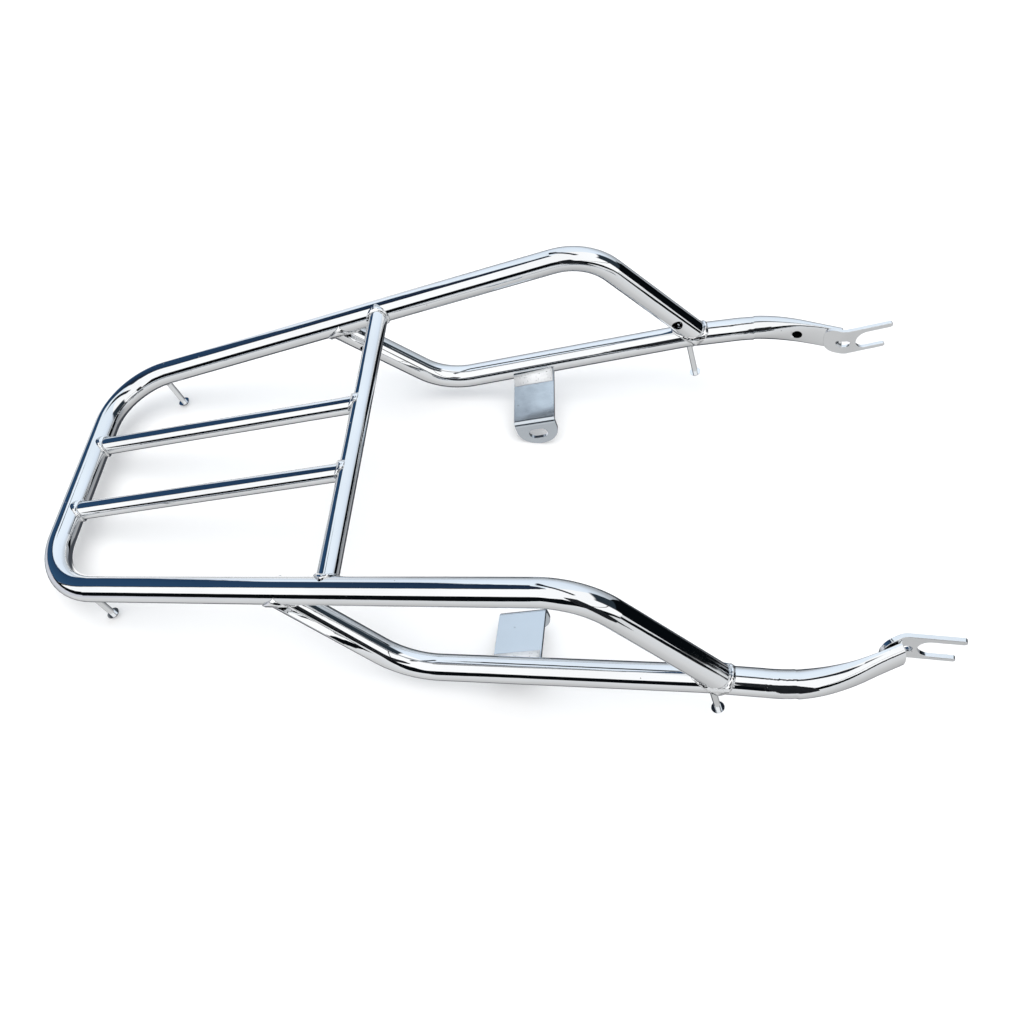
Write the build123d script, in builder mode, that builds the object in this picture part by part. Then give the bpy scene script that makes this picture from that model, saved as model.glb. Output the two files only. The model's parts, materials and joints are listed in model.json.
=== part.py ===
"""Luggage rack for a motorcycle: a bent tube loop over two side rails, with fork ends and straps.

Own frame, in mm: +X forward to the fork ends, +Y to the left side, +Z up.
The origin is the middle of the deck's top plane.
The left pieces are drawn and the right ones are their mirror images in the XZ plane.
"""
import os
from math import asin, cos, pi, radians, sin, tan

from build123d import *

os.makedirs("parts", exist_ok=True)

# Tube and bar sizes
tube_diameter = 19.0
tube_wall = 1.5
cross_bar_diameter = 15.0
deck_bar_diameter = 13.5
bar_wall = 1.2
bend_radius = 50.0

# Deck seen from above, all positions on tube axes
deck_half_length = 116.0
rear_half_width = 100.5
rail_front_x = 285.5
rail_front_half_width = 153.0
deck_bar_half_spacing = 32.0
descender_foot_x = 355.0

# Side rail, positions on its axis
riser_top_x = 76.0
riser_foot = (137.2, 138.5, -104.6)
rail_knee = (345.6, 159.0, -120.9)
rail_outer_bend = (413.9, 165.7, -132.2)
rail_front_end = (469.4, 141.4, -139.0)
knee_bend_radius = 130.0
outer_bend_radius = 113.0

# Front end of the side rail, pressed flat from this share of its last run to this one
flat_thickness = 4.0
press_start = 0.22
press_end = 0.9
press_steps = 5

# Fork plate on the inner face of the pressed end
plate_thickness = 3.2
plate_height = 25.2
plate_lift = 1.5
plate_lap = 16.0
plate_bend = 32.5
plate_bend_radius = 10.0
plate_rear_corner = 9.5
slot_width = 17.5
slot_start = 8.4
upper_prong_height = 4.3
upper_prong_tip = 37.0
lower_prong_tip = 32.5
eye_length = 11.0
eye_height = 6.6
eye_offset = 1.5

# Strap bracket
strap_width = 35.0
strap_thickness = 3.0
strap_x = 214.0
strap_slope = 9.35
strap_below_axis = 3.4
tab_face_y = 90.3
tab_drop = 27.4
strap_bend_radius = 5.0
tab_slot_length = 16.0
tab_slot_width = 11.0
tab_slot_above_tip = 12.8

# Strap pegs
peg_diameter = 4.6
peg_head_diameter = 9.2
peg_head_height = 3.2
rear_peg_x = -79.0
rear_peg_length = 28.5
front_peg_x = 345.5
front_peg_length = 38.0

# Vent holes in the inner sides of the tubes
riser_vent_diameter = 6.0
vent_diameter = 9.0
riser_vent_share = 0.27
descender_vent_share = 0.79
front_vent_share = 0.37

# Weld beads
weld_leg = 1.9
equal_tube_leg = 2.4
weld_round = 1.1
peg_weld_leg = 2.0
strap_weld_reach = 8.8
strap_weld_crown = 1.0
seam_leg = 2.4

tube_radius = tube_diameter / 2
cross_radius = cross_bar_diameter / 2
deck_radius = deck_bar_diameter / 2
axis_z = -tube_radius


def between(start, end, x):
    """Point with this x on the straight line through two points."""
    share = (x - start[0]) / (end[0] - start[0])
    return tuple(a + share * (b - a) for a, b in zip(start, end))


def straight_bar(start, end, radius):
    """Solid round bar with square ends."""
    direction = Vector(*end) - Vector(*start)
    with BuildPart() as bar:
        with BuildSketch(Plane(origin=start, z_dir=direction)):
            Circle(radius)
        extrude(amount=direction.length)
    return bar.part


def bent_tube(points, bends, radius, wall=None):
    """Round bar or tube along straight runs that are joined by bends."""
    with BuildPart() as tube:
        with BuildLine() as route:
            FilletPolyline(*points, radius=bends)
        with BuildSketch(Plane(origin=route.line @ 0, z_dir=route.line % 0)):
            Circle(radius)
            if wall:
                Circle(radius - wall, mode=Mode.SUBTRACT)
        sweep(path=route.wire())
    return tube.part


def mirrored(point):
    """The same point on the other side of the rack."""
    return (point[0], -point[1], point[2])


def weld_bead(main, main_grown, branch_line, branch_radius, leg):
    """Bead in the corner round a branch: inside both grown bars, outside both real ones."""
    branch = straight_bar(*branch_line, branch_radius)
    with BuildPart() as bead:
        add(straight_bar(*branch_line, branch_radius + leg))
        add(main_grown, mode=Mode.INTERSECT)
        add(main, mode=Mode.SUBTRACT)
        add(branch, mode=Mode.SUBTRACT)
        # The free rim stays clear of both bars all along, and is rounded over
        rims = [edge for edge in bead.edges() if clearance(edge, main, branch) > 0.95 * (weld_leg + leg)]
        fillet(rims, weld_round)
    return bead.part


def clearance(edge, main, branch):
    """Smallest sum of the distances from an edge to two bars."""
    return min(main.distance_to(edge @ share) + branch.distance_to(edge @ share) for share in (0.1, 0.4, 0.6, 0.9))


def middle(start, end):
    """Point half way between two points."""
    return tuple((Vector(*start) + Vector(*end)) * 0.5)


# Corner points of the tube axes
rear_corner = (-deck_half_length, rear_half_width, axis_z)
front_corner = (rail_front_x, rail_front_half_width, axis_z)
descender_foot = between(rail_knee, rail_outer_bend, descender_foot_x)
riser_top = between(rear_corner, front_corner, riser_top_x)
cross_bar_end = between(rear_corner, front_corner, deck_half_length)
press_point = between(rail_knee, rail_outer_bend, rail_outer_bend[0] - 35)

# Solid cores that the ends of other tubes are cut to
rail_core = straight_bar(rear_corner, front_corner, tube_radius)
rear_core = straight_bar(mirrored(rear_corner), rear_corner, tube_radius)
cross_core = straight_bar(mirrored(cross_bar_end), cross_bar_end, cross_radius)
side_line = [riser_foot, rail_knee, press_point]
side_core = bent_tube(side_line, knee_bend_radius, tube_radius)
rail_grown = straight_bar(rear_corner, front_corner, tube_radius + weld_leg)
rear_grown = straight_bar(mirrored(rear_corner), rear_corner, tube_radius + weld_leg)
cross_grown = straight_bar(mirrored(cross_bar_end), cross_bar_end, cross_radius + weld_leg)
side_grown = bent_tube(side_line, knee_bend_radius, tube_radius + weld_leg)

# Upper loop: rear bar, both upper rails and both descenders in one tube
loop_points = [descender_foot, front_corner, rear_corner]
loop_points += [mirrored(point) for point in reversed(loop_points)]
loop_tube = bent_tube(loop_points, bend_radius, tube_radius, tube_wall)
loop_core = bent_tube(loop_points, bend_radius, tube_radius)
descender_vent = between(front_corner, descender_foot,
                         rail_front_x + descender_vent_share * (descender_foot_x - rail_front_x))

with BuildPart() as upper_loop:
    add(loop_tube)
    add(side_core, mode=Mode.SUBTRACT)
    add(mirror(side_core, about=Plane.XZ), mode=Mode.SUBTRACT)
    # Vent holes face the middle of the rack
    for side in (1, -1):
        centre = (descender_vent[0], side * descender_vent[1], descender_vent[2])
        with BuildSketch(Plane(origin=centre, x_dir=(1, 0, 0), z_dir=(0, -side, 0))):
            Circle(vent_diameter / 2)
        extrude(amount=tube_diameter, mode=Mode.SUBTRACT)

upper_loop.part.label = "upper_loop"
export_step(upper_loop.part, "parts/upper_loop.step")

# Cross bar between the upper rails, its ends cut to their round
with BuildPart() as cross_bar:
    with BuildSketch(Plane(origin=mirrored(cross_bar_end), z_dir=(0, 1, 0))):
        Circle(cross_radius)
        Circle(cross_radius - bar_wall, mode=Mode.SUBTRACT)
    extrude(amount=2 * cross_bar_end[1])
    add(rail_core, mode=Mode.SUBTRACT)
    add(mirror(rail_core, about=Plane.XZ), mode=Mode.SUBTRACT)

cross_bar.part.label = "cross_bar"
export_step(cross_bar.part, "parts/cross_bar.step")

# Deck bar from the rear bar to the cross bar
deck_bar_rear = (-deck_half_length, deck_bar_half_spacing, axis_z)
deck_bar_front = (deck_half_length, deck_bar_half_spacing, axis_z)

with BuildPart() as deck_bar_left:
    with BuildSketch(Plane(origin=deck_bar_rear, z_dir=(1, 0, 0))):
        Circle(deck_radius)
        Circle(deck_radius - bar_wall, mode=Mode.SUBTRACT)
    extrude(amount=2 * deck_half_length)
    add(rear_core, mode=Mode.SUBTRACT)
    add(cross_core, mode=Mode.SUBTRACT)

deck_bar_left.part.label = "deck_bar_left"
export_step(deck_bar_left.part, "parts/deck_bar_left.step")


# Side rail: riser and long run of round tube, then an end that is pressed flat
last_run = Vector(*rail_front_end) - Vector(*rail_outer_bend)
lap_direction = last_run.normalized()
lap_normal = Vector(-last_run.Y, last_run.X, 0).normalized()
lap_up = lap_direction.cross(lap_normal)
tube_end_gap = plate_bend_radius * tan(radians(plate_bend / 2)) + 1
tube_end = Vector(*rail_front_end) - lap_direction * tube_end_gap

with BuildLine() as press_route:
    FilletPolyline(press_point, rail_outer_bend, tuple(tube_end), radius=outer_bend_radius)
press_path = press_route.wire()


def pressed_thickness(share):
    """Thickness of the tube at this share of the pressed run."""
    step = min(max((share - press_start) / (press_end - press_start), 0), 1)
    return flat_thickness + (tube_diameter - flat_thickness) * (1 + cos(pi * step)) / 2


def pressed_section(thickness, inset):
    """Closed outline of a pressed tube, with the length of its skin kept."""
    half_flat = pi * (tube_diameter - thickness) / 4
    end_radius = thickness / 2 - inset
    spread = radians(80)
    across = end_radius * sin(spread)
    along = half_flat + end_radius * cos(spread)
    top = half_flat + end_radius
    # Four arcs in every section, the round one included, so that the loft runs straight
    arcs = [ThreePointArc((across, along), (0, top), (-across, along)),
            ThreePointArc((-across, along), (-end_radius, 0), (-across, -along)),
            ThreePointArc((-across, -along), (0, -top), (across, -along)),
            ThreePointArc((across, -along), (end_radius, 0), (across, along))]
    return Face(Wire(arcs))


def pressed_run(inset):
    """Round-to-flat body through sections square to the axis."""
    sections = []
    shares = [0, press_start / 2]
    shares += [press_start + i * (press_end - press_start) / press_steps for i in range(press_steps + 1)]
    shares += [1]
    for share in shares:
        centre = press_path.position_at(share)
        tangent = press_path.tangent_at(share)
        across = Vector(-tangent.Y, tangent.X, 0).normalized()
        place = Plane(origin=centre, x_dir=across, z_dir=tangent)
        sections.append(place * pressed_section(pressed_thickness(share), inset))
    return loft(sections)


side_points = [riser_top, riser_foot, rail_knee, press_point]
side_bends = [bend_radius, knee_bend_radius]
side_outer = bent_tube(side_points, side_bends, tube_radius)
side_bore = bent_tube(side_points, side_bends, tube_radius - tube_wall)
press_outer = pressed_run(0)
press_bore = pressed_run(tube_wall)

riser_vent = tuple(Vector(*riser_top) + (Vector(*riser_foot) - Vector(*riser_top)) * riser_vent_share)
front_vent = Vector(*rail_outer_bend) + last_run * front_vent_share

# Fork plate frame: along the lap, its origin where lap and prongs meet on the tube's inner face
plate_origin = Vector(*rail_front_end) - lap_normal * (flat_thickness / 2) + lap_up * plate_lift
lap_plane = Plane(origin=plate_origin, x_dir=lap_direction, z_dir=lap_up)
bend_angle = radians(plate_bend)
prong_direction = lap_direction * cos(bend_angle) + lap_normal * sin(bend_angle)
prong_normal = prong_direction.cross(lap_up)
prong_plane = Plane(origin=plate_origin, x_dir=prong_direction, z_dir=prong_normal)
lap_face = Plane(origin=plate_origin, x_dir=lap_direction, z_dir=-lap_normal)
half_height = plate_height / 2
slot_middle = half_height - upper_prong_height - slot_width / 2
eye_middle = slot_start - 2.4 - eye_length / 2

with BuildPart() as side_rail_left:
    add(side_outer)
    add(press_outer)
    add(side_bore, mode=Mode.SUBTRACT)
    add(press_bore, mode=Mode.SUBTRACT)
    add(rail_core, mode=Mode.SUBTRACT)
    # Vent near the top of the riser
    with BuildSketch(Plane(origin=riser_vent, x_dir=(1, 0, 0), z_dir=(0, -1, 0))):
        Circle(riser_vent_diameter / 2)
    extrude(amount=tube_diameter, mode=Mode.SUBTRACT)
    # Vent in the pressed run
    with BuildSketch(Plane(origin=tuple(front_vent), x_dir=lap_direction, z_dir=-lap_normal)):
        Circle(vent_diameter / 2)
    extrude(amount=tube_diameter, mode=Mode.SUBTRACT)

side_rail_left.part.label = "side_rail_left"
export_step(side_rail_left.part, "parts/side_rail_left.step")


def is_corner(edge):
    """Straight edge across the thickness of the fork plate."""
    return edge.geom_type == GeomType.LINE and abs(edge.length - plate_thickness) < 0.001


# Fork plate: a bent strip with a U slot, an eye behind it and a round rear end
with BuildPart() as fork_plate_left:
    with BuildSketch(lap_plane):
        with BuildLine() as strip:
            FilletPolyline((-plate_lap, 0), (0, 0),
                           (upper_prong_tip * cos(bend_angle), upper_prong_tip * sin(bend_angle)),
                           radius=plate_bend_radius)
            offset(amount=plate_thickness, side=Side.RIGHT)
        make_face()
    extrude(amount=half_height, both=True)
    with BuildSketch(prong_plane):
        with Locations((slot_start + slot_width / 2, slot_middle)):
            Circle(slot_width / 2)
        with Locations((slot_start + slot_width / 2, slot_middle)):
            Rectangle(upper_prong_tip, slot_width, align=(Align.MIN, Align.CENTER))
        with Locations((lower_prong_tip, slot_middle)):
            Rectangle(upper_prong_tip, 2 * plate_height, align=(Align.MIN, Align.MAX))
    extrude(amount=3 * plate_thickness, both=True, mode=Mode.SUBTRACT)

    # Round rear end and round prong tips
    corners = fork_plate_left.edges().filter_by(is_corner).sort_by(Axis.X)
    fillet(corners[:2], plate_rear_corner)
    tips = fork_plate_left.edges().filter_by(is_corner).sort_by(Axis.X)[-4:]
    fillet(tips[:2], 0.48 * (plate_height - upper_prong_height - slot_width))
    tips = fork_plate_left.edges().filter_by(is_corner).sort_by(Axis.X)[-2:]
    fillet(tips, 0.48 * upper_prong_height)
    # Eye through the lap, behind the slot
    with BuildSketch(lap_face):
        with Locations((-eye_middle, -eye_offset)):
            SlotOverall(eye_length, eye_height)
    extrude(amount=3 * plate_thickness, both=True, mode=Mode.SUBTRACT)
    # The outer face bears on the pressed end
    add(press_outer, mode=Mode.SUBTRACT)

fork_plate_left.part.label = "fork_plate_left"
export_step(fork_plate_left.part, "parts/fork_plate_left.step")

# Bracket: sloping strap off the side rail that turns down into a tab with a slot
strap_axis = between(riser_foot, rail_knee, strap_x)
strap_root_z = strap_axis[2] - strap_below_axis
corner_z = strap_root_z - (strap_axis[1] - tab_face_y) * tan(radians(strap_slope))
tab_tip_z = corner_z - tab_drop

with BuildPart() as bracket_left:
    with BuildSketch(Plane.YZ.offset(strap_x - strap_width / 2)):
        with BuildLine() as strap_line:
            FilletPolyline((strap_axis[1], strap_root_z), (tab_face_y, corner_z), (tab_face_y, tab_tip_z),
                           radius=strap_bend_radius)
            offset(amount=strap_thickness, side=Side.LEFT)
        make_face()
    extrude(amount=strap_width)
    add(side_core, mode=Mode.SUBTRACT)
    # Round tab end and its slot
    fillet(bracket_left.edges().filter_by(Axis.Y).group_by(Axis.Z)[0], strap_width / 2 - 0.05)
    with BuildSketch(Plane.XZ.offset(-tab_face_y)):
        with Locations((strap_x, tab_tip_z + tab_slot_above_tip)):
            SlotOverall(tab_slot_length, tab_slot_width)
    extrude(amount=2 * strap_thickness, both=True, mode=Mode.SUBTRACT)

bracket_left.part.label = "bracket_left"
export_step(bracket_left.part, "parts/bracket_left.step")


def peg(x, y, z, length, core):
    """Strap peg that hangs under a tube: round shaft with a domed head."""
    shaft = peg_diameter / 2
    head = peg_head_diameter / 2
    tip = z - tube_radius - length
    # The dome is part of a ball whose centre lies on the peg's axis
    dome = (head ** 2 + peg_head_height ** 2) / (2 * peg_head_height)
    half_angle = asin(head / dome) / 2
    with BuildPart() as body:
        with BuildSketch(Plane.XZ.offset(-y)):
            with BuildLine():
                Polyline((x, tip), (x, z), (x + shaft, z), (x + shaft, tip + peg_head_height),
                         (x + head, tip + peg_head_height))
                ThreePointArc((x + head, tip + peg_head_height),
                              (x + dome * sin(half_angle), tip + dome * (1 - cos(half_angle))),
                              (x, tip))
            make_face()
        revolve(axis=Axis((x, y, z), (0, 0, 1)))
        add(core, mode=Mode.SUBTRACT)
    return body.part


def peg_weld(x, y, z, core, body):
    """Small cone of weld where a peg meets the underside of its tube."""
    shaft = peg_diameter / 2
    surface = z - tube_radius
    with BuildPart() as weld:
        with BuildSketch(Plane.XZ.offset(-y)):
            with BuildLine():
                Polyline((x, z), (x + shaft + peg_weld_leg, z), (x + shaft + peg_weld_leg, surface),
                         (x + shaft, surface - peg_weld_leg), (x, surface - peg_weld_leg), (x, z))
            make_face()
        revolve(axis=Axis((x, y, z), (0, 0, 1)))
        add(core, mode=Mode.SUBTRACT)
        add(body, mode=Mode.SUBTRACT)
    return weld.part


rear_peg = between(rear_corner, front_corner, rear_peg_x)
front_peg = between(riser_foot, rail_knee, front_peg_x)
rear_peg_body = peg(*rear_peg, rear_peg_length, loop_core)
front_peg_body = peg(*front_peg, front_peg_length, side_core)

with BuildPart() as peg_rear_left:
    add(rear_peg_body)

peg_rear_left.part.label = "peg_rear_left"
export_step(peg_rear_left.part, "parts/peg_rear_left.step")

with BuildPart() as peg_front_left:
    add(front_peg_body)

peg_front_left.part.label = "peg_front_left"
export_step(peg_front_left.part, "parts/peg_front_left.step")

# Weld beads of the left half
deck_middle = (0, deck_bar_half_spacing, axis_z)
half_cross = [cross_bar_end, (deck_half_length, 0, axis_z)]
beads = {
    "weld_cross_bar": weld_bead(rail_core, rail_grown, half_cross, cross_radius, weld_leg),
    "weld_deck_bar_rear": weld_bead(rear_core, rear_grown, [deck_bar_rear, deck_middle], deck_radius, weld_leg),
    "weld_deck_bar_front": weld_bead(cross_core, cross_grown, [deck_bar_front, deck_middle], deck_radius,
                                     weld_leg),
    "weld_riser": weld_bead(rail_core, rail_grown, [riser_top, middle(riser_top, riser_foot)], tube_radius,
                            equal_tube_leg),
    "weld_descender": weld_bead(side_core, side_grown, [descender_foot, middle(front_corner, descender_foot)],
                                tube_radius, equal_tube_leg),
    "weld_peg_rear": peg_weld(*rear_peg, loop_core, rear_peg_body),
    "weld_peg_front": peg_weld(*front_peg, side_core, front_peg_body),
}

# Bead along the strap's root, in the corner between the side rail and the strap's top
face_y = strap_axis[1] - tube_radius
toe_y = face_y - strap_weld_reach + 0.8
toe_z = strap_root_z - (strap_axis[1] - toe_y) * tan(radians(strap_slope))
crown_point = ((face_y + toe_y) / 2, (strap_axis[2] + toe_z) / 2 + strap_weld_crown)

with BuildPart() as weld_bracket:
    with BuildSketch(Plane.YZ.offset(strap_x)):
        with BuildLine():
            ThreePointArc((face_y, strap_axis[2]), crown_point, (toe_y, toe_z))
            Polyline((toe_y, toe_z), (toe_y, toe_z - strap_thickness / 2), (strap_axis[1], strap_root_z),
                     (strap_axis[1], strap_axis[2]), (face_y, strap_axis[2]))
        make_face()
    extrude(amount=strap_width / 2 - 0.8, both=True)
    add(side_core, mode=Mode.SUBTRACT)
    add(bracket_left.part, mode=Mode.SUBTRACT)
beads["weld_bracket"] = weld_bracket.part

# Seam where the pressed end of the tube stops on the outer face of the fork plate
with BuildPart() as weld_fork:
    with BuildSketch(lap_plane):
        with BuildLine():
            Polyline((-tube_end_gap, -plate_thickness / 2), (seam_leg - tube_end_gap, -plate_thickness / 2),
                     (seam_leg - tube_end_gap, plate_thickness / 4), (-tube_end_gap, seam_leg),
                     (-tube_end_gap, -plate_thickness / 2))
        make_face()
    extrude(amount=half_height - 3, both=True)
    add(fork_plate_left.part, mode=Mode.SUBTRACT)
    add(side_rail_left.part, mode=Mode.SUBTRACT)
beads["weld_fork"] = weld_fork.part

for name, bead in beads.items():
    with BuildPart() as weld_left:
        add(bead)
    weld_left.part.label = name + "_left"
    export_step(weld_left.part, f"parts/{name}_left.step")
    print(name, weld_left.part.is_valid, len(weld_left.solids()), round(weld_left.part.volume))

# Right half: mirror images of the left pieces
left_pieces = [deck_bar_left.part, side_rail_left.part, fork_plate_left.part, bracket_left.part,
               peg_rear_left.part, peg_front_left.part]
left_labels = ["deck_bar", "side_rail", "fork_plate", "bracket", "peg_rear", "peg_front"]
for name, piece in list(zip(left_labels, left_pieces)) + list(beads.items()):
    with BuildPart() as right:
        mirror(piece, about=Plane.XZ)
    right.part.label = name + "_right"
    export_step(right.part, f"parts/{name}_right.step")
    print(right.part.label, right.part.is_valid, len(right.solids()), round(right.part.volume))
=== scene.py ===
# %% [markdown]
# # Chrome luggage rack for a motorcycle
#
# The rack is one welded frame: a loop of round tube with three bars across it, two side rails that are
# pressed flat at the front, a slotted fork plate on each of them, two strap brackets and four strap pegs.
# The CAD frame already holds every piece at its real size, so this script adds what the CAD can't show:
# the bright plating, the rougher weld beads, a white floor and the studio that the chrome mirrors.

import json
from math import asin, atan2, cos, degrees, pi, radians, sin, tan

import bmesh
import bpy
from mathutils import Matrix, Vector, bvhtree, noise
from mathutils.interpolate import poly_3d_calc

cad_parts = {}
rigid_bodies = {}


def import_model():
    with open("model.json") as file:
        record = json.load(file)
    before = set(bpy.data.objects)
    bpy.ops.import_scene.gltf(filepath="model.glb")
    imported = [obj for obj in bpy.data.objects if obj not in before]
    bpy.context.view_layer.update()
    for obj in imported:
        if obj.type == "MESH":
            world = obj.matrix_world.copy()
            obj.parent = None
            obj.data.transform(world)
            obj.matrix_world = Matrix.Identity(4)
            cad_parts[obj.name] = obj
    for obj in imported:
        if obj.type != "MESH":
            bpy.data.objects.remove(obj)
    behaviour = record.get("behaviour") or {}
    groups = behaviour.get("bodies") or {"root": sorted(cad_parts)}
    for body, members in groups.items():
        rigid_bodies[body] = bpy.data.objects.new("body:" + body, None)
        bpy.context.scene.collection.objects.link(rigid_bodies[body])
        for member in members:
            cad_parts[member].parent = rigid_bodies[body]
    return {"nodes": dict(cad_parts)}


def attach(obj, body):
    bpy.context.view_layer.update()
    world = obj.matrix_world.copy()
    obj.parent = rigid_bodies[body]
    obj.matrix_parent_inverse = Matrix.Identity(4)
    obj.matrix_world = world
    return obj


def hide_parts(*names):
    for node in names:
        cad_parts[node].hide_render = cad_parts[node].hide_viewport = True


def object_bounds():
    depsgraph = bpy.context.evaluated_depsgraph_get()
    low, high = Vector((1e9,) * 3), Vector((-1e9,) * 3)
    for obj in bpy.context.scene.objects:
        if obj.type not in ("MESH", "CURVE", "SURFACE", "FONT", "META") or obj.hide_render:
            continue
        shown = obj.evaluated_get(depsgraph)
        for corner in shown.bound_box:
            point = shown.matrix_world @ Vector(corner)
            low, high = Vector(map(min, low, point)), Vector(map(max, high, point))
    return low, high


# The start-up scene's own objects go first
for leftover in list(bpy.data.objects):
    bpy.data.objects.remove(leftover)

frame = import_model()
cad_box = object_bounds()
rack_low, rack_high = cad_box
print("CAD pieces:", len(frame["nodes"]))
print("rack, mm:", [round(1000 * side) for side in rack_high - rack_low])

# %% [markdown]
# ## Camera
#
# The photograph looks down on the rack from the near side, with the fork ends to the right. A camera's
# place and turn could be found by eye. Here they come from the vanishing directions of the deck bars and
# the rails, so they are written as one position and the three axes of the camera. Blender keeps those axes
# as the columns of the camera's matrix: right, up, and back towards the photographer.

# %% Camera
photo_side = 1024
focal_pixels = 998.2
camera_place = Vector((0.4111, -0.4602, 0.4794))
camera_right = Vector((0.95524, 0.05775, -0.29014))
camera_up = Vector((0.12538, 0.80929, 0.57388))

camera = bpy.data.objects.new("camera", bpy.data.cameras.new("camera"))
bpy.context.scene.collection.objects.link(camera)
camera.data.sensor_width = 36.0
camera.data.lens = 36.0 * focal_pixels / photo_side
turn = Matrix((camera_right, camera_up, camera_right.cross(camera_up))).transposed()
camera.matrix_world = Matrix.Translation(camera_place) @ turn.to_4x4()
bpy.context.scene.camera = camera
print("lens, mm:", round(camera.data.lens, 1))

# %% [markdown]
# ## Small helpers for node trees
#
# Every finish below is a tree of nodes. Wiring a node takes several lines, so four short helpers do it:
# one adds a node, one does sums, one turns a range of values into a soft step from 0 to 1, and one mixes
# two colours. A value may be a number, a colour or the output of another node.

# %% Node helpers
def feed(tree, socket, value):
    """Set a socket to a value, or link another node's output to it."""
    if isinstance(value, bpy.types.NodeSocket):
        tree.links.new(value, socket)
    else:
        socket.default_value = value


def add_node(tree, kind, **inputs):
    """A new node of that kind, with its inputs given by name (spaces written as _)."""
    node = tree.nodes.new(kind)
    for name, value in inputs.items():
        feed(tree, node.inputs[name.replace("_", " ")], value)
    return node


def sum_up(tree, operation, *values):
    """One step of arithmetic."""
    node = tree.nodes.new("ShaderNodeMath")
    node.operation = operation
    for socket, value in zip(node.inputs, values):
        feed(tree, socket, value)
    return node.outputs[0]


def soft_step(tree, value, start, end):
    """0 before start, 1 after end, with a soft rise between them."""
    node = tree.nodes.new("ShaderNodeMapRange")
    node.interpolation_type = "SMOOTHSTEP"
    for name, number in (("Value", value), ("From Min", start), ("From Max", end)):
        feed(tree, node.inputs[name], number)
    return node.outputs[0]


def mix_colour(tree, factor, first, second):
    """First colour where the factor is 0, second colour where it is 1."""
    node = tree.nodes.new("ShaderNodeMix")
    node.data_type = "RGBA"
    for socket, value in ((node.inputs[0], factor), (node.inputs[6], first), (node.inputs[7], second)):
        feed(tree, socket, value)
    return node.outputs[2]


def grey(level):
    """A neutral colour, with its alpha."""
    return (level, level, level, 1.0)


# %% [markdown]
# ## Wear that all the chrome shares
#
# Bright plating is never perfect. Hands leave smudges that blur the mirror a little, cloths leave fine
# scratches, and the plating has small pits. One group makes all three from the object's own coordinates,
# so the marks stay where they are when the rack is seen from another side. It gives out a roughness, a
# normal and a mask of the pits, and each material sets how strong they are.

# %% Group: chrome wear
def chrome_wear_group():
    group = bpy.data.node_groups.new("chrome_wear", "ShaderNodeTree")
    for name, value in (("Polish", 0.03), ("Smudges", 0.05), ("Scratches", 0.05), ("Waviness", 0.02),
                        ("Pit Amount", 0.1)):
        socket = group.interface.new_socket(name, in_out="INPUT", socket_type="NodeSocketFloat")
        socket.default_value = value
    for name, kind in (("Roughness", "NodeSocketFloat"), ("Pits", "NodeSocketFloat"),
                       ("Normal", "NodeSocketVector")):
        group.interface.new_socket(name, in_out="OUTPUT", socket_type=kind)
    given = group.nodes.new("NodeGroupInput").outputs
    place = group.nodes.new("ShaderNodeTexCoord").outputs["Object"]

    # Smudges: broad soft patches
    smudge = add_node(group, "ShaderNodeTexNoise", Vector=place, Scale=26.0, Detail=4.0, Roughness=0.62)
    patch = soft_step(group, smudge.outputs[0], 0.46, 0.72)
    dulled = sum_up(group, "MULTIPLY", patch, given["Smudges"])

    # Fine scratches: noise that is stretched along the rack
    stretch = add_node(group, "ShaderNodeMapping", Vector=place, Scale=(140.0, 1900.0, 1900.0),
                       Rotation=(0.3, 0.12, 0.2))
    scratch = add_node(group, "ShaderNodeTexNoise", Vector=stretch.outputs[0], Scale=1.0, Detail=2.0)
    hairline = soft_step(group, scratch.outputs[0], 0.6, 0.78)
    scratched = sum_up(group, "MULTIPLY", hairline, given["Scratches"])
    worn = sum_up(group, "ADD", sum_up(group, "ADD", dulled, scratched), given["Polish"])

    # Pits: the middles of small cells, only in a few of them
    cells = add_node(group, "ShaderNodeTexVoronoi", Vector=place, Scale=420.0)
    pit = sum_up(group, "SUBTRACT", 1.0, soft_step(group, cells.outputs["Distance"], 0.08, 0.2))
    luck = add_node(group, "ShaderNodeSeparateColor", Color=cells.outputs["Color"])
    chosen = sum_up(group, "LESS_THAN", luck.outputs[0], given["Pit Amount"])
    pits = sum_up(group, "MULTIPLY", pit, chosen)

    # Slow waves left by the buffing wheel, then the pits pressed into them
    wave = add_node(group, "ShaderNodeTexNoise", Vector=place, Scale=55.0, Detail=1.5)
    buffed = add_node(group, "ShaderNodeBump", Strength=given["Waviness"], Distance=0.002,
                      Height=wave.outputs[0])
    sunk = add_node(group, "ShaderNodeBump", Strength=0.5, Distance=0.0004, Height=pits,
                    Normal=buffed.outputs[0])
    sunk.invert = True

    result = group.nodes.new("NodeGroupOutput").inputs
    group.links.new(worn, result["Roughness"])
    group.links.new(pits, result["Pits"])
    group.links.new(sunk.outputs[0], result["Normal"])
    return group


chrome_wear = chrome_wear_group()
print("group:", chrome_wear.name, [item.name for item in chrome_wear.interface.items_tree])


# %% [markdown]
# ## Chrome on the tubes
#
# The tubes are mirror-bright. A Principled shader with Metallic at 1 and a low roughness does that, and its
# colour is a light grey with a trace of blue, because plated chromium mirrors a little less red. The pits
# are dark and rough, as bare metal shows in them.

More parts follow.
